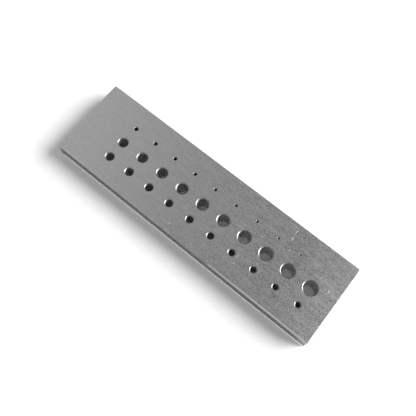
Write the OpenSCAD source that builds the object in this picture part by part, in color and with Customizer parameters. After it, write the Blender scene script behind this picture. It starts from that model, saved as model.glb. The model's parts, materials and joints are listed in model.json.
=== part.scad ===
// Staking block: a flat bar of hardened steel with three rows of through holes in graded sizes.
// Origin: centre of the underside. +X along the bar towards the largest hole, +Z up.

/* [Bar] */
// Width of the bar, across the rows
bar_w = 25.4; // [20:0.1:40]
// Thickness of the bar
bar_t = 6.35; // [4:0.05:12]
// Plain steel from the left end to the first hole of each row
plain_end = 14.5; // [6:0.5:30]
// Steel from the last hole of each row to the right end
short_end = 8; // [6:0.5:30]
// Radius of the four upright corners
corner_r = 0.5; // [0.2:0.1:2]
// Chamfer along the edges of the top face and the underside
edge_break = 0.35; // [0.1:0.05:1]

/* [Hole grid] */
// Holes in each row
per_row = 10; // [4:1:12]
// Distance from one hole to the next along a row
pitch = 7.5; // [6:0.1:12]
// Distance from the coarse row to the row on either side
row_gap = 5.75; // [4.5:0.05:7]

/* [Coarse row, along the middle] */
// Largest hole, at the right end of the row
coarse_d = 4.15; // [3:0.05:5]
// Drop in diameter from each hole to the next, leftwards
coarse_step = 0.15; // [0.05:0.01:0.18]
// Width of the chamfer at both mouths of a coarse hole
coarse_rim = 0.25; // [0.1:0.05:0.4]

/* [Medium row, on the near side] */
// Largest hole, at the left end of the row
medium_d = 2.5; // [2:0.05:3.5]
// Drop in diameter from each hole to the next, rightwards
medium_step = 0.1; // [0.02:0.01:0.12]
// Width of the chamfer at both mouths of a medium hole
medium_rim = 0.2; // [0.05:0.05:0.3]

/* [Fine row, on the far side] */
// Largest hole, at the left end of the row
fine_d = 1.3; // [1.1:0.05:2]
// Drop in diameter from each hole to the next, rightwards
fine_step = 0.1; // [0.02:0.01:0.12]
// Width of the chamfer at both mouths of a fine hole
fine_rim = 0.15; // [0.05:0.05:0.2]

/* [Hidden] */
$fn = 64;
// How far a cutting shape runs past the surface that it cuts
past = 1;
bar_l = plain_end + (per_row - 1) * pitch + short_end;
first_x = plain_end - bar_l / 2;

// A rectangle with its four corners cut at 45 degrees, centred on the origin
module broken_rectangle(w, h, cut) {
    x = w / 2;
    y = h / 2;
    polygon([
        [x - cut, -y], [x, -y + cut], [x, y - cut], [x - cut, y],
        [cut - x, y], [-x, y - cut], [-x, cut - y], [cut - x, -y]
    ]);
}

// A rectangle with its four corners rounded, centred on the origin
module rounded_rectangle(w, h, r) {
    square([w - 2 * r, h], center = true);
    square([w, h - 2 * r], center = true);
    for (x = [r - w / 2, w / 2 - r], y = [r - h / 2, h / 2 - r])
        translate([x, y]) circle(r);
}

// The bar before drilling: its plan, side view and end view, each swept through the other two
module bar() {
    intersection() {
        linear_extrude(bar_t)
            rounded_rectangle(bar_l, bar_w, corner_r);
        translate([0, bar_w / 2 + past, bar_t / 2])
            rotate([90, 0, 0])
                linear_extrude(bar_w + 2 * past)
                    broken_rectangle(bar_l, bar_t, edge_break);
        translate([-bar_l / 2 - past, 0, bar_t / 2])
            rotate([90, 0, 90])
                linear_extrude(bar_l + 2 * past)
                    broken_rectangle(bar_w, bar_t, edge_break);
    }
}

// A straight hole through the bar, with a 45 degree chamfer of the given width at both mouths
module through_hole(d, rim) {
    translate([0, 0, -past])
        cylinder(d = d, h = bar_t + 2 * past);
    for (side = [-1, 1])
        translate([0, 0, bar_t / 2])
            scale([1, 1, side])
                translate([0, 0, bar_t / 2 - rim])
                    cylinder(d1 = d, d2 = d + 2 * (rim + past), h = rim + past);
}

// One row of holes at the given y, with diameters listed from left to right
module hole_row(y, diameters, rim) {
    for (i = [0 : per_row - 1])
        translate([first_x + i * pitch, y, 0])
            through_hole(diameters[i], rim);
}

module block() {
    coarse = [for (i = [per_row - 1 : -1 : 0]) coarse_d - i * coarse_step];
    medium = [for (i = [0 : per_row - 1]) medium_d - i * medium_step];
    fine = [for (i = [0 : per_row - 1]) fine_d - i * fine_step];
    color([0.66, 0.66, 0.67])
        difference() {
            bar();
            hole_row(0, coarse, coarse_rim);
            hole_row(-row_gap, medium, medium_rim);
            hole_row(row_gap, fine, fine_rim);
        }
}

block();
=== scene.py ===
# Staking block: a ground steel bar with three rows of graded holes, lying on a white bench.
# Meshes are in metres. Values whose names end in _MM are in millimetres, and so are places in the materials.
import json
import math

import bpy
from mathutils import Matrix, Vector


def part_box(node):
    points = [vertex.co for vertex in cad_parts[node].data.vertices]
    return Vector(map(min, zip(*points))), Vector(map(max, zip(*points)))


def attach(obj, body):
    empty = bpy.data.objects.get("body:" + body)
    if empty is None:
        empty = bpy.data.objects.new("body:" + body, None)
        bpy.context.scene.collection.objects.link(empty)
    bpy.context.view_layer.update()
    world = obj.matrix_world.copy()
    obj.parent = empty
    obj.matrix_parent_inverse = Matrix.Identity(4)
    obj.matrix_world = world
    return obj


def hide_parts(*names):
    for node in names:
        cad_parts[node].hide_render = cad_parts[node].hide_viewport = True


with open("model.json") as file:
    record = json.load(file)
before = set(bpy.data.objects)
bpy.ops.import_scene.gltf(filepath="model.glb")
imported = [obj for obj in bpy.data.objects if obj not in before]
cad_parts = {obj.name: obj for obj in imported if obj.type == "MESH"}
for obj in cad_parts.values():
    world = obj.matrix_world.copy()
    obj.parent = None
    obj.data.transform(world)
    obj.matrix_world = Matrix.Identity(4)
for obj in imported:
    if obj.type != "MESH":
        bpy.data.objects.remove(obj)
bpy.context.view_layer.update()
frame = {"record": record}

MM = 0.001

# Camera, solved from the hole grid and the edges of the top face
CAMERA_AT_MM = (33.44, -43.34, 159.21)
CAMERA_AIM_MM = (1.35, 0.07, 6.35)
CAMERA_ROLL = math.radians(2.95)
CAMERA_LENS = 50
CAMERA_SENSOR = 36
CAMERA_NEAR_MM = 5

# One wide, far key light: azimuth 0 is +X and 90 is +Y, and its three angles are in degrees
KEY_AZIMUTH = 39
KEY_ELEVATION = 32
KEY_SPREAD = 46
KEY_STRENGTH = 6.0

# The sky is brighter towards the near side, where the room is open
SKY_LEVEL = 0.5
SKY_SWING = 0.22

# The bench top is a square of this half width, in metres
BENCH_HALF = 3.0
BENCH_WHITE = 0.8
BENCH_ROUGHNESS = 0.9


def make_camera():
    """The camera at the photograph's place, with its small roll."""
    here = Vector(CAMERA_AT_MM) * MM
    ahead = (Vector(CAMERA_AIM_MM) * MM - here).normalized()
    level_right = ahead.cross(Vector((0, 0, 1))).normalized()
    level_up = level_right.cross(ahead)
    right = math.cos(CAMERA_ROLL) * level_right + math.sin(CAMERA_ROLL) * level_up
    up = right.cross(ahead)
    data = bpy.data.cameras.new("camera")
    data.lens = CAMERA_LENS
    data.sensor_width = CAMERA_SENSOR
    data.clip_start = CAMERA_NEAR_MM * MM
    camera = bpy.data.objects.new("camera", data)
    camera.matrix_world = Matrix((right, up, -ahead)).transposed().to_4x4()
    camera.location = here
    bpy.context.scene.collection.objects.link(camera)
    bpy.context.scene.camera = camera


make_camera()


def put(tree, kind, values=None, **settings):
    """A new node in the tree. values sets or links its inputs by name or number."""
    made = tree.nodes.new(kind)
    for key, value in settings.items():
        setattr(made, key, value)
    for key, value in (values or {}).items():
        if isinstance(value, bpy.types.NodeSocket):
            tree.links.new(value, made.inputs[key])
        else:
            made.inputs[key].default_value = value
    return made


def calc(tree, operation, *values):
    """The value of a Math node."""
    return put(tree, "ShaderNodeMath", dict(enumerate(values)), operation=operation).outputs[0]


def vector(tree, operation, *values):
    """The first output of a Vector Math node."""
    return put(tree, "ShaderNodeVectorMath", dict(enumerate(values)), operation=operation).outputs[0]


def scaled(tree, value, factor):
    """A vector times a plain number."""
    return put(tree, "ShaderNodeVectorMath", {0: value, "Scale": factor}, operation="SCALE").outputs[0]


def joined(tree, x=0.0, y=0.0, z=0.0):
    """A vector made of its x, y and z."""
    return put(tree, "ShaderNodeCombineXYZ", {"X": x, "Y": y, "Z": z}).outputs[0]


def split(tree, value):
    """The x, y and z of a vector."""
    return put(tree, "ShaderNodeSeparateXYZ", {0: value}).outputs


def remap(tree, value, low, high, to_low=0.0, to_high=1.0, smooth=False):
    """value from low..high to to_low..to_high, held at the ends."""
    return put(
        tree, "ShaderNodeMapRange",
        {"Value": value, "From Min": low, "From Max": high, "To Min": to_low, "To Max": to_high},
        interpolation_type="SMOOTHSTEP" if smooth else "LINEAR",
    ).outputs[0]


def noise(tree, place, detail, roughness):
    """Plain noise, about 0 to 1, with cells one unit wide."""
    values = {"Vector": place, "Scale": 1.0, "Detail": detail, "Roughness": roughness}
    return put(tree, "ShaderNodeTexNoise", values).outputs[0]


def turned(tree, place, angle):
    """A place turned about the upright axis."""
    values = {"Vector": place, "Angle": angle}
    return put(tree, "ShaderNodeVectorRotate", values, rotation_type="Z_AXIS").outputs[0]


def largest(tree, masks):
    """One mask that is the largest of many, point by point."""
    whole = masks[0]
    for mask in masks[1:]:
        whole = calc(tree, "MAXIMUM", whole, mask)
    return whole


def sockets(tree, **made):
    """Named inputs and outputs of a node group: name = (in or out, kind, starting value)."""
    for name, (side, kind, *start) in made.items():
        in_out = "INPUT" if side == "in" else "OUTPUT"
        socket = tree.interface.new_socket(
            name.replace("_", " "), in_out=in_out, socket_type="NodeSocket" + kind
        )
        if start:
            socket.default_value = start[0]


def use(tree, group, **values):
    """The outputs of a node group placed in a material; underscores in the names stand for spaces."""
    named = {name.replace("_", " "): value for name, value in values.items()}
    return put(tree, "ShaderNodeGroup", named, node_tree=group).outputs


def smooth_step(value, low, high):
    """0 up to low, 1 from high on, and a smooth rise between."""
    t = min(max((value - low) / (high - low), 0), 1)
    return t * t * (3 - 2 * t)


bar_low, bar_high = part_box("block")
THICK = bar_high.z


def grain_group():
    """Grinding lines along X and the tone that goes with them."""
    coarse_scale = 0.31
    coarse_height = 0.8
    tree = bpy.data.node_groups.new("grinding grain", "ShaderNodeTree")
    sockets(
        tree,
        Place=("in", "Vector"),
        Lines_per_mm=("in", "Float", 5.0),
        Line_length=("in", "Float", 3.0),
        Height=("out", "Float"),
        Tone=("out", "Float"),
    )
    given = put(tree, "NodeGroupInput").outputs
    across = given["Lines per mm"]
    along = calc(tree, "DIVIDE", 1.0, given["Line length"])
    place = vector(tree, "MULTIPLY", given["Place"], joined(tree, x=along, y=across, z=across))
    fine = noise(tree, place, detail=3.0, roughness=0.65)
    coarse = noise(tree, scaled(tree, place, coarse_scale), detail=2.0, roughness=0.5)
    height = calc(tree, "MULTIPLY_ADD", coarse, coarse_height, fine)
    tone = calc(tree, "MULTIPLY", calc(tree, "ADD", coarse, fine), 0.5)
    put(tree, "NodeGroupOutput", {"Height": height, "Tone": tone})
    return tree


def scratch_group():
    """Hairline scratches at one angle, as a mask. They show where noise rises past a threshold."""
    edge = 0.1
    upright_stretch = 0.3
    tree = bpy.data.node_groups.new("hairline scratches", "ShaderNodeTree")
    sockets(
        tree,
        Place=("in", "Vector"),
        Angle=("in", "Float", 0.0),
        Length=("in", "Float", 3.0),
        Width=("in", "Float", 0.12),
        Threshold=("in", "Float", 0.6),
        Mask=("out", "Float"),
    )
    given = put(tree, "NodeGroupInput").outputs
    along = calc(tree, "DIVIDE", 1.0, given["Length"])
    across = calc(tree, "DIVIDE", 1.0, given["Width"])
    stretch = joined(tree, x=along, y=across, z=upright_stretch)
    place = vector(tree, "MULTIPLY", turned(tree, given["Place"], given["Angle"]), stretch)
    value = noise(tree, place, detail=1.0, roughness=0.5)
    threshold = given["Threshold"]
    mask = remap(tree, value, threshold, calc(tree, "ADD", threshold, edge))
    put(tree, "NodeGroupOutput", {"Mask": mask})
    return tree


def nick_group():
    """One small nick or scratch as a soft mask, given its place, half sizes and angle."""
    clear_from = 1.3
    full_to = 0.5
    tree = bpy.data.node_groups.new("nick", "ShaderNodeTree")
    sockets(
        tree,
        Place=("in", "Vector"),
        Centre=("in", "Vector"),
        Half_sizes=("in", "Vector"),
        Angle=("in", "Float", 0.0),
        Mask=("out", "Float"),
    )
    given = put(tree, "NodeGroupInput").outputs
    offset = vector(tree, "SUBTRACT", given["Place"], given["Centre"])
    shape = vector(tree, "DIVIDE", turned(tree, offset, given["Angle"]), given["Half sizes"])
    reach = put(tree, "ShaderNodeVectorMath", {0: shape}, operation="LENGTH").outputs["Value"]
    put(tree, "NodeGroupOutput", {"Mask": remap(tree, reach, clear_from, full_to)})
    return tree


def new_material(name):
    """An empty material, its node tree, and the place on the piece in millimetres."""
    material = bpy.data.materials.new(name)
    material.use_nodes = True
    tree = material.node_tree
    tree.nodes.clear()
    place = scaled(tree, put(tree, "ShaderNodeTexCoord").outputs["Object"], 1 / MM)
    return material, tree, place


def close_metal(tree, level, roughness, height, depth_mm):
    """Finishes a steel material from its lightness, roughness and surface height."""
    grey = put(tree, "ShaderNodeCombineColor", {0: level, 1: level, 2: level}).outputs[0]
    relief = {"Height": height, "Strength": 1.0, "Distance": depth_mm * MM}
    bump = put(tree, "ShaderNodeBump", relief).outputs[0]
    shader = put(
        tree, "ShaderNodeBsdfPrincipled",
        {"Base Color": grey, "Metallic": 1.0, "Roughness": roughness, "Normal": bump},
    )
    put(tree, "ShaderNodeOutputMaterial", {"Surface": shader.outputs[0]})


# Noise and the grain's tone lie mostly between these two
NOISE_LOW = 0.3
NOISE_HIGH = 0.7

# Lightness of the top face at four places along the bar, as (x in millimetres, lightness). It is a painted
# reflection: lighter at the left end, darker from the middle on, and lighter again at the right end.
LEFT_TONE = (-44.0, 0.64)
MIDDLE_TONE = (0.0, 0.41)
DARK_REFLECTION_TONE = (30.0, 0.305)
RIGHT_TONE = (46.0, 0.33)

# The grain is faint at the left end and full at the right: (x in millimetres, strength)
FAINT_GRAIN = (-24.0, 0.42)
FULL_GRAIN = (30.0, 1.0)

# Hairline scratches across the top face: angle in degrees, length, width, noise value that they start from
SCRATCHES_MM = (
    (41, 3.0, 0.16, 0.64),
    (-34, 2.6, 0.16, 0.66),
    (86, 2.0, 0.18, 0.66),
    (4, 5.0, 0.16, 0.6),
)

# Nicks on the top face, with a painted highlight where they catch the light: centre x and y, half length,
# half width, angle in degrees
NICKS_MM = (
    (-40.2, 1.8, 0.30, 0.18, 120),
    (-36.4, 9.4, 0.22, 0.18, 0),
    (-44.1, -1.2, 0.25, 0.2, 30),
    (-43.6, 5.8, 0.25, 0.16, 20),
    (-19.7, 5.4, 0.3, 0.16, 130),
    (-34.6, 12.0, 0.18, 0.15, 0),
    (24.9, 10.4, 0.7, 0.12, 75),
    (25.1, 8.0, 0.8, 0.12, 96),
    (26.4, 4.8, 0.28, 0.22, 0),
    (18.2, 3.1, 0.25, 0.2, 0),
    (41.4, 2.3, 0.65, 0.12, 105),
    (3.6, 12.0, 0.3, 0.15, 10),
    (-4.1, -10.4, 0.5, 0.1, 70),
    (16.4, -5.6, 0.7, 0.09, 88),
    (16.8, -7.8, 0.35, 0.16, 60),
)
NICK_HALF_DEPTH_MM = 0.3


def rise(tree, x, start, end, smooth=False):
    """How much a value grows along the bar between two (x, value) pairs."""
    return remap(tree, x, start[0], end[0], 0.0, end[1] - start[1], smooth)


def face_scratches(tree, place, group):
    """All the hairline scratches of the top face as one mask."""
    return largest(tree, [
        use(
            tree, group, Place=place, Angle=math.radians(degrees), Length=length, Width=width,
            Threshold=threshold,
        )[0]
        for degrees, length, width, threshold in SCRATCHES_MM
    ])


def face_nicks(tree, place, group):
    """All the nicks of the top face as one mask."""
    return largest(tree, [
        use(
            tree, group, Place=place, Centre=(x, y, THICK / MM), Angle=-math.radians(degrees),
            Half_sizes=(half_length, half_width, NICK_HALF_DEPTH_MM),
        )[0]
        for x, y, half_length, half_width, degrees in NICKS_MM
    ])


def painted_reflection_tone(tree, x):
    """Painted reflection: the lightness of the clean top face along the bar, lighter at the ends and darker
    from the middle on.
    """
    tone = calc(tree, "ADD", LEFT_TONE[1], rise(tree, x, LEFT_TONE, MIDDLE_TONE))
    tone = calc(tree, "ADD", tone, rise(tree, x, MIDDLE_TONE, DARK_REFLECTION_TONE))
    return calc(tree, "ADD", tone, rise(tree, x, DARK_REFLECTION_TONE, RIGHT_TONE, smooth=True))


def face_material(grain, scratch, nick):
    """The ground broad faces: speckled steel with scratches and nicks, and stronger grain to the right, with
    a painted reflection along the bar and painted highlights on the nicks.
    """
    material, tree, place = new_material("ground steel")
    x = split(tree, place)[0]
    strength = calc(tree, "ADD", FAINT_GRAIN[1], rise(tree, x, FAINT_GRAIN, FULL_GRAIN, smooth=True))
    lines = use(tree, grain, Place=place, Lines_per_mm=3.2, Line_length=1.6)
    speckles_per_mm = 3.5
    speckle = noise(tree, scaled(tree, place, speckles_per_mm), detail=2.0, roughness=0.75)
    scratches = face_scratches(tree, place, scratch)
    nicks = face_nicks(tree, place, nick)

    # Grain and speckle swing the tone about its middle
    line_share = 0.4
    middle = 0.5 * (1 + line_share)
    swing = calc(tree, "SUBTRACT", calc(tree, "MULTIPLY_ADD", lines["Tone"], line_share, speckle), middle)
    swing = calc(tree, "MULTIPLY", swing, strength)

    swing_gain, scratch_gain, nick_highlight_level = 1.05, 0.12, 0.9
    # The base lightness along the bar is a painted reflection
    level = calc(tree, "MULTIPLY_ADD", swing, swing_gain, painted_reflection_tone(tree, x))
    level = calc(tree, "MULTIPLY_ADD", calc(tree, "MULTIPLY", scratches, strength), scratch_gain, level)
    # Nicks are painted near white: a painted highlight over their dents
    level = calc(tree, "MAXIMUM", level, calc(tree, "MULTIPLY", nicks, nick_highlight_level))

    plain_roughness, roughness_gain = 0.36, -0.2
    rough = calc(tree, "MULTIPLY_ADD", swing, roughness_gain, plain_roughness)

    speckle_height, scratch_height, nick_height = 0.8, -0.5, -3.0
    height = calc(tree, "MULTIPLY_ADD", speckle, speckle_height, lines["Height"])
    height = calc(tree, "MULTIPLY_ADD", scratches, scratch_height, height)
    height = calc(tree, "MULTIPLY", height, strength)
    height = calc(tree, "MULTIPLY_ADD", nicks, nick_height, height)
    close_metal(tree, level, rough, height, depth_mm=0.0042)
    return material


def shaded_side_material(grain):
    """The sheared side of the bar, painted dark as painted shade, with marks that run down it."""
    material, tree, place = new_material("side steel with painted shade")
    lines = use(tree, grain, Place=place, Lines_per_mm=2.5, Line_length=4.0)
    marks_per_mm = (2.2, 2.2, 0.15)
    shear = noise(tree, vector(tree, "MULTIPLY", place, marks_per_mm), detail=2.0, roughness=0.6)
    tone = calc(tree, "ADD", lines["Tone"], shear)
    tone_low, tone_high = 2 * NOISE_LOW, 2 * NOISE_HIGH
    # Painted shade: the side is far darker than the faces
    level = remap(tree, tone, tone_low, tone_high, to_low=0.12, to_high=0.26)
    rough = remap(tree, tone, tone_low, tone_high, to_low=0.5, to_high=0.38)
    shear_height = 0.7
    height = calc(tree, "MULTIPLY_ADD", shear, shear_height, lines["Height"])
    close_metal(tree, level, rough, height, depth_mm=0.012)
    return material


def edge_material(grain, name, dark, light):
    """Smoother steel where an edge or a hole mouth is broken, between the dark and light levels given, which
    carry the painted highlights of the bright and highlight edges.
    """
    material, tree, place = new_material(name)
    lines = use(tree, grain, Place=place, Lines_per_mm=4.0, Line_length=0.6)
    level = remap(tree, lines["Tone"], NOISE_LOW, NOISE_HIGH, dark, light)
    rough = remap(tree, lines["Tone"], NOISE_LOW, NOISE_HIGH, to_low=0.4, to_high=0.3)
    close_metal(tree, level, rough, lines["Height"], depth_mm=0.006)
    return material


def bore_material():
    """The drilled wall inside a hole, with fine rings left by the drill."""
    material, tree, place = new_material("drilled steel")
    rings_per_mm = (0.4, 0.4, 5.0)
    ring = noise(tree, vector(tree, "MULTIPLY", place, rings_per_mm), detail=2.0, roughness=0.6)
    level = remap(tree, ring, NOISE_LOW, NOISE_HIGH, to_low=0.42, to_high=0.6)
    rough = remap(tree, ring, NOISE_LOW, NOISE_HIGH, to_low=0.5, to_high=0.4)
    close_metal(tree, level, rough, ring, depth_mm=0.02)
    return material


grain = grain_group()
STEELS = {
    "Face steel": face_material(grain, scratch_group(), nick_group()),
    # Side steel is painted dark: painted shade on the walls
    "Side steel": shaded_side_material(grain),
    # Painted highlight: the burr along the base is painted almost white
    "Bright steel": edge_material(grain, "bright edge steel", dark=0.78, light=0.95),
    # Painted highlight for the near top edge towards the right end
    "Worn steel": edge_material(grain, "edge steel with painted highlight", dark=0.54, light=0.66),
    "Rim steel": edge_material(grain, "hole rim steel", dark=0.22, light=0.3),
    "Bore steel": bore_material(),
}
# The number that each steel has in the mesh's "finish" attribute
FINISH = {name: number for number, name in enumerate(STEELS)}

# Outline of the bar: radius of its upright corners, spacing of the stations along a side, steps in a corner
CORNER_MM = 0.5
STATION_MM = 0.75
CORNER_STEPS = 6

# How far the ends, cut a little out of square, lean in, and how far from the middle each lean starts
LEFT_LEAN_MM = 0.5
RIGHT_LEAN_MM = 0.35
LEFT_LEAN_FROM_MM = 38
RIGHT_LEAN_FROM_MM = 40

# Section of the side wall, from the top. The edge rolls in and down by the two sizes of a roll, and the wall
# starts under it, at its inset. It goes in and down by the two sizes of the wall step, on to where it stands
# in from the outline by the first waist size, then by the second, and out again to the burr along the base.
# The near side's roll grows along X, from NEAR_ROLL_MM up to NEAR_ROLL_TO_MM to WORN_ROLL_MM past
# WORN_ROLL_FROM_MM.
ROLL_STEPS = 4
PLAIN_ROLL_MM = (0.15, 0.12)
NEAR_ROLL_MM = (0.22, 0.12)
WORN_ROLL_MM = (0.38, 0.26)
NEAR_ROLL_TO_MM = 2
WORN_ROLL_FROM_MM = 24
PLAIN_WAIST_MM = (0.06, 0.08)
NEAR_WAIST_MM = (0.2, 0.24)
WAIST_HEIGHTS_MM = (0.95, 0.62)
BURR_HEIGHTS_MM = (0.52, 0.42)
BURR_RINGS = 3
WALL_INSET_MM = 0.04
WALL_STEP_MM = (0.01, 0.15)
# The near edge's roll is painted lighter from this x on, a painted highlight
HIGHLIGHT_FROM_MM = 11

# Holes: faces round each, rings of faces along it, and the share of those rings that each mouth takes
HOLE_SEGMENTS = 64
HOLE_RINGS = 20
MOUTH_SHARE = 0.2
# How deep a hole's mouth is broken, as a share of the width of its rim
MOUTH_SLOPE = 0.6
# The photographed rims are a little wider than cut, and those of the fine row are narrower
RIM_SHARE = 1.1
FINE_RIM_SHARE = 0.5

WELD_MM = 0.001


def plan_stations():
    """Points round the plan, counterclockwise from the near left corner: (place, outward, side)."""
    radius = CORNER_MM * MM
    size = Vector((bar_high.x - bar_low.x, bar_high.y - bar_low.y))
    spans = [
        ("near", Vector((bar_low.x, bar_low.y)), Vector((1, 0))),
        ("right", Vector((bar_high.x, bar_low.y)), Vector((0, 1))),
        ("far", Vector((bar_high.x, bar_high.y)), Vector((-1, 0))),
        ("left", Vector((bar_low.x, bar_high.y)), Vector((0, -1))),
    ]
    made = []
    for side, corner, along in spans:
        outward = Vector((along.y, -along.x))
        length = abs(along.dot(size)) - 2 * radius
        count = round(length / (STATION_MM * MM))
        for i in range(count + 1):
            made.append((corner + along * (radius + length * i / count), outward, side))
        turn_centre = corner + along * (radius + length) - outward * radius
        for i in range(1, CORNER_STEPS):
            turn = math.radians(90 * i / CORNER_STEPS)
            facing = outward * math.cos(turn) + along * math.sin(turn)
            made.append((turn_centre + facing * radius, facing, side + "_corner"))
    return made


def section(place, side):
    """Profile of the side wall at one station, from the top face down: (inset from the plan, height)."""
    top = THICK / MM
    roll, waist = PLAIN_ROLL_MM, PLAIN_WAIST_MM
    if side == "near":
        worn = smooth_step(place.x / MM, NEAR_ROLL_TO_MM, WORN_ROLL_FROM_MM)
        roll = Vector(NEAR_ROLL_MM).lerp(Vector(WORN_ROLL_MM), worn)
        waist = NEAR_WAIST_MM
    profile = []
    for i in range(ROLL_STEPS + 1):
        turn = math.radians(90 * i / ROLL_STEPS)
        inset = WALL_INSET_MM + roll[0] * (1 - math.sin(turn))
        profile.append((inset, top - roll[1] * (1 - math.cos(turn))))
    return profile + [
        (WALL_INSET_MM + WALL_STEP_MM[0], top - roll[1] - WALL_STEP_MM[1]),
        (waist[0], WAIST_HEIGHTS_MM[0]),
        (waist[1], WAIST_HEIGHTS_MM[1]),
        (waist[1] / 2, BURR_HEIGHTS_MM[0]),
        (0.0, BURR_HEIGHTS_MM[1]),
        (0.0, 0.0),
    ]


def wall_finish(place, side, ring, last_ring):
    """The steel of one face of the wall, by its ring from the top."""
    if ring < ROLL_STEPS:
        # Painted highlight on the near edge's roll towards the right end
        highlighted = side == "near" and place.x / MM > HIGHLIGHT_FROM_MM
        return FINISH["Worn steel"] if highlighted else FINISH["Face steel"]
    # Painted highlight on the burr rings at the base; the wall above them gets the painted shade of side
    # steel
    return FINISH["Bright steel"] if ring > last_ring - BURR_RINGS else FINISH["Side steel"]


def end_lean(at):
    """How far the ends, which are cut a little out of square, move a point of the outline along X."""
    end = bar_high.x / MM
    far_share = (at.y - bar_low.y) / (bar_high.y - bar_low.y)
    left = LEFT_LEAN_MM * (1 - far_share) * smooth_step(-at.x / MM, LEFT_LEAN_FROM_MM, end)
    right = RIGHT_LEAN_MM * far_share * smooth_step(at.x / MM, RIGHT_LEAN_FROM_MM, end)
    return (left - right) * MM


def bar_walls():
    """The wall as rings of quads, open above and below, with the holes' centres as loose points."""
    stations = plan_stations()
    points, faces, finish = [], [], []
    for place, outward, side in stations:
        for inset, height in section(place, side):
            at = place - outward * inset * MM
            points.append((at.x + end_lean(at), at.y, height * MM))
    levels = len(points) // len(stations)
    for i, (place, _, side) in enumerate(stations):
        here, there = i * levels, (i + 1) % len(stations) * levels
        for k in range(levels - 1):
            faces.append((here + k, here + k + 1, there + k + 1, there + k))
            finish.append(wall_finish(place, side, ring=k, last_ring=levels - 2))
    radius = [0.0] * len(points)
    rim = [0.0] * len(points)
    for hole in frame["record"]["mounts"]:
        if hole["kind"] != "bore":
            continue
        x, y, _ = hole["pos_m"]
        share = FINE_RIM_SHARE if hole["name"].startswith("fine") else RIM_SHARE
        points.append((x, y, 0))
        radius.append(hole["dims"]["r_mm"] * MM)
        rim.append((THICK - hole["dims"]["length_mm"] * MM) / 2 * share)
    mesh = bpy.data.meshes.new("bar walls")
    mesh.from_pydata(points, [], faces)
    mesh.attributes.new("bore radius", "FLOAT", "POINT").data.foreach_set("value", radius)
    mesh.attributes.new("rim width", "FLOAT", "POINT").data.foreach_set("value", rim)
    mesh.attributes.new("finish", "INT", "FACE").data.foreach_set("value", finish)
    return mesh


def step(tree, kind, geometry, **settings):
    """One node that changes a geometry. A setting that starts with a capital is an input of the node."""
    values, own = {0: geometry}, {}
    for name, value in settings.items():
        if name[0].isupper():
            values[name.replace("_", " ")] = value
        else:
            own[name] = value
    return put(tree, kind, values, **own).outputs[0]


def together(tree, *geometries):
    """Several geometries as one."""
    node = put(tree, "GeometryNodeJoinGeometry")
    for geometry in geometries:
        tree.links.new(geometry, node.inputs[0])
    return node.outputs[0]


def attribute(tree, name, data_type="FLOAT"):
    """A named attribute of the mesh."""
    return put(tree, "GeometryNodeInputNamedAttribute", {"Name": name}, data_type=data_type).outputs[0]


def position(tree):
    """The place of each point or face."""
    return put(tree, "GeometryNodeInputPosition").outputs[0]


def compare(tree, operation, first, second, data_type="FLOAT"):
    """Whether two numbers compare as asked. The node has a pair of inputs for each kind of number."""
    at = 2 if data_type == "INT" else 0
    values = {at: first, at + 1: second}
    return put(tree, "FunctionNodeCompare", values, data_type=data_type, operation=operation).outputs[0]


def both(tree, first, second):
    """Whether two conditions hold at once."""
    return put(tree, "FunctionNodeBooleanMath", {0: first, 1: second}, operation="AND").outputs[0]


def finished(tree, geometry, steel, where=True):
    """Notes on faces which steel they get."""
    return step(
        tree, "GeometryNodeStoreNamedAttribute", geometry, Selection=where, Name="finish",
        Value=FINISH[steel], data_type="INT", domain="FACE",
    )


def straight_tubes(tree, centres, segments):
    """A tube of radius 1 and height 1 at each centre, which its points remember."""
    centres = step(
        tree, "GeometryNodeStoreNamedAttribute", centres, Name="centre", Value=position(tree),
        data_type="FLOAT_VECTOR", domain="POINT",
    )
    sizes = {"Vertices": segments, "Side Segments": HOLE_RINGS, "Radius": 1.0, "Depth": 1.0}
    tube = put(tree, "GeometryNodeMeshCylinder", sizes, fill_type="NONE").outputs[0]
    tubes = step(tree, "GeometryNodeInstanceOnPoints", centres, Instance=tube)
    return step(tree, "GeometryNodeRealizeInstances", tubes)


def bores(tree, tubes, thick, half_thick):
    """Each tube shaped to its hole: a straight bore between two mouths that open to the rim's width."""
    centre = attribute(tree, "centre", "FLOAT_VECTOR")
    rim = attribute(tree, "rim width")
    local = vector(tree, "SUBTRACT", position(tree), centre)
    up = calc(tree, "ADD", split(tree, local)[2], 0.5)
    upper = remap(tree, up, 1 - MOUTH_SHARE, 1.0)
    lower = remap(tree, up, MOUTH_SHARE, 0.0)
    middle = remap(tree, up, MOUTH_SHARE, 1 - MOUTH_SHARE)

    depth = calc(tree, "MULTIPLY", rim, MOUTH_SLOPE)
    bore_length = calc(tree, "MULTIPLY_ADD", depth, -2.0, thick)
    lift = calc(tree, "MULTIPLY_ADD", calc(tree, "SUBTRACT", upper, lower), depth, depth)
    height = calc(tree, "MULTIPLY_ADD", middle, bore_length, lift)
    reach = calc(tree, "MULTIPLY_ADD", calc(tree, "ADD", upper, lower), rim, attribute(tree, "bore radius"))
    outward = vector(tree, "NORMALIZE", vector(tree, "MULTIPLY", local, (1, 1, 0)))
    level_centre = vector(tree, "MULTIPLY", centre, (1, 1, 0))
    offset = vector(tree, "ADD", scaled(tree, outward, reach), joined(tree, z=height))
    shaped = vector(tree, "ADD", level_centre, offset)

    tubes = step(tree, "GeometryNodeSetPosition", tubes, Position=shaped)
    tubes = step(tree, "GeometryNodeFlipFaces", tubes)
    tubes = step(tree, "GeometryNodeSetShadeSmooth", tubes, Shade_Smooth=True)
    from_middle = calc(tree, "ABSOLUTE", calc(tree, "SUBTRACT", split(tree, position(tree))[2], half_thick))
    in_bore = compare(tree, "LESS_THAN", from_middle, calc(tree, "MULTIPLY", bore_length, 0.5))
    return finished(tree, finished(tree, tubes, "Rim steel"), "Bore steel", where=in_bore)


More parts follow.
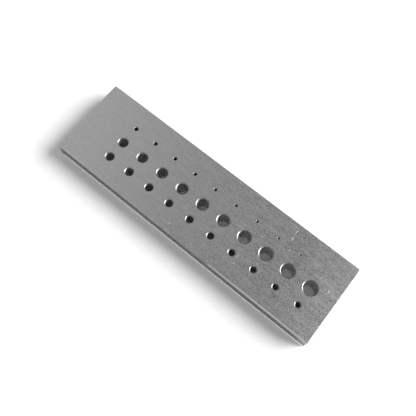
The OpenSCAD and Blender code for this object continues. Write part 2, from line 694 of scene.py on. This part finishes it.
def broad_faces(tree, shell, thick, half_thick):
    """The top face and the underside, filled between the open edges of the wall and of the bores."""
    neighbours = put(tree, "GeometryNodeInputMeshEdgeNeighbors").outputs[0]
    is_open = compare(tree, "EQUAL", neighbours, 1, "INT")
    is_high = compare(tree, "GREATER_THAN", split(tree, position(tree))[2], half_thick)
    is_low = put(tree, "FunctionNodeBooleanMath", {0: is_high}, operation="NOT").outputs[0]
    filled = []
    for level in (is_high, is_low):
        loops = step(tree, "GeometryNodeMeshToCurve", shell, Selection=both(tree, is_open, level))
        filled.append(step(tree, "GeometryNodeFillCurve", loops, mode="TRIANGLES"))
    top = step(tree, "GeometryNodeSetPosition", filled[0], Offset=joined(tree, z=thick))
    underside = step(tree, "GeometryNodeFlipFaces", filled[1])
    flat = step(tree, "GeometryNodeSetShadeSmooth", together(tree, top, underside), Shade_Smooth=False)
    return finished(tree, flat, "Face steel")


def drilled_tree():
    """Lines every marked centre with a bore and closes the top face and the underside round them."""
    tree = bpy.data.node_groups.new("drilled bar", "GeometryNodeTree")
    sockets(
        tree,
        Geometry=("in", "Geometry"),
        Thickness=("in", "Float", THICK),
        Segments=("in", "Int", HOLE_SEGMENTS),
        **{name.replace(" ", "_"): ("in", "Material") for name in STEELS},
    )
    tree.interface.new_socket("Geometry", in_out="OUTPUT", socket_type="NodeSocketGeometry")
    given = put(tree, "NodeGroupInput").outputs
    thick = given["Thickness"]
    half_thick = calc(tree, "MULTIPLY", thick, 0.5)

    is_centre = compare(tree, "GREATER_THAN", attribute(tree, "bore radius"), 0.0)
    to_part = {"Geometry": given["Geometry"], "Selection": is_centre}
    parted = put(tree, "GeometryNodeSeparateGeometry", to_part, domain="POINT").outputs
    walls = step(tree, "GeometryNodeSetShadeSmooth", parted["Inverted"], Shade_Smooth=True)
    tubes = straight_tubes(tree, parted["Selection"], given["Segments"])
    shell = together(tree, walls, bores(tree, tubes, thick, half_thick))
    closed = together(tree, shell, broad_faces(tree, shell, thick, half_thick))

    whole = step(tree, "GeometryNodeMergeByDistance", closed, Distance=WELD_MM * MM)
    whole = step(tree, "GeometryNodeRealizeInstances", whole)
    for name, number in FINISH.items():
        # The first steel goes on every face, so that the mesh gets no empty material slot
        chosen = number == 0 or compare(tree, "EQUAL", attribute(tree, "finish", "INT"), number, "INT")
        whole = step(tree, "GeometryNodeSetMaterial", whole, Selection=chosen, Material=given[name])
    put(tree, "NodeGroupOutput", {"Geometry": whole})
    return tree


def make_block():
    """The finished bar as one plain mesh at the origin."""
    draft = bpy.data.objects.new("bar draft", bar_walls())
    bpy.context.scene.collection.objects.link(draft)
    tree = drilled_tree()
    modifier = draft.modifiers.new("drilled bar", "NODES")
    modifier.node_group = tree
    wanted = {"Thickness": THICK, "Segments": HOLE_SEGMENTS, **STEELS}
    for item in tree.interface.items_tree:
        if item.in_out == "INPUT" and item.name in wanted:
            modifier[item.identifier] = wanted[item.name]
    evaluated = draft.evaluated_get(bpy.context.evaluated_depsgraph_get())
    mesh = bpy.data.meshes.new_from_object(evaluated)
    bpy.data.objects.remove(draft)
    for name in ("bore radius", "rim width", "centre", "finish"):
        if name in mesh.attributes:
            mesh.attributes.remove(mesh.attributes[name])
    mesh.name = "steel_block"
    block = bpy.data.objects.new("steel_block", mesh)
    bpy.context.scene.collection.objects.link(block)
    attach(block, "root")
    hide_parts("block")


make_block()


def make_bench():
    """A wide white bench top under the bar."""
    mesh = bpy.data.meshes.new("bench top")
    corners = [(x * BENCH_HALF, y * BENCH_HALF, 0) for x, y in ((-1, -1), (1, -1), (1, 1), (-1, 1))]
    mesh.from_pydata(corners, [], [(0, 1, 2, 3)])
    bench = bpy.data.objects.new("bench_top", mesh)
    white = bpy.data.materials.new("white board")
    white.use_nodes = True
    shader = white.node_tree.nodes["Principled BSDF"]
    shader.inputs["Base Color"].default_value = (BENCH_WHITE, BENCH_WHITE, BENCH_WHITE, 1)
    shader.inputs["Roughness"].default_value = BENCH_ROUGHNESS
    shader.inputs["Specular IOR Level"].default_value = 0.0
    mesh.materials.append(white)
    bpy.context.scene.collection.objects.link(bench)


def make_key_light():
    """The soft key light, from the far right."""
    lamp = bpy.data.lights.new("key", "SUN")
    lamp.energy = KEY_STRENGTH
    lamp.angle = math.radians(KEY_SPREAD)
    light = bpy.data.objects.new("key", lamp)
    azimuth, elevation = math.radians(KEY_AZIMUTH), math.radians(KEY_ELEVATION)
    level = Vector((math.cos(azimuth), math.sin(azimuth), 0)) * math.cos(elevation)
    towards = level + Vector((0, 0, math.sin(elevation)))
    light.rotation_euler = towards.to_track_quat("Z", "Y").to_euler()
    bpy.context.scene.collection.objects.link(light)


def make_sky():
    """A white sky that is brighter towards the near side."""
    world = bpy.data.worlds.new("sky")
    bpy.context.scene.world = world
    world.use_nodes = True
    tree = world.node_tree
    background = tree.nodes["Background"]
    background.inputs["Color"].default_value = (1, 1, 1, 1)
    farness = split(tree, put(tree, "ShaderNodeTexCoord").outputs["Generated"])[1]
    brightness = calc(tree, "ADD", calc(tree, "MULTIPLY", farness, -SKY_SWING), SKY_LEVEL)
    tree.links.new(brightness, background.inputs["Strength"])


make_bench()
make_key_light()
make_sky()
bpy.context.scene.view_settings.view_transform = "Standard"
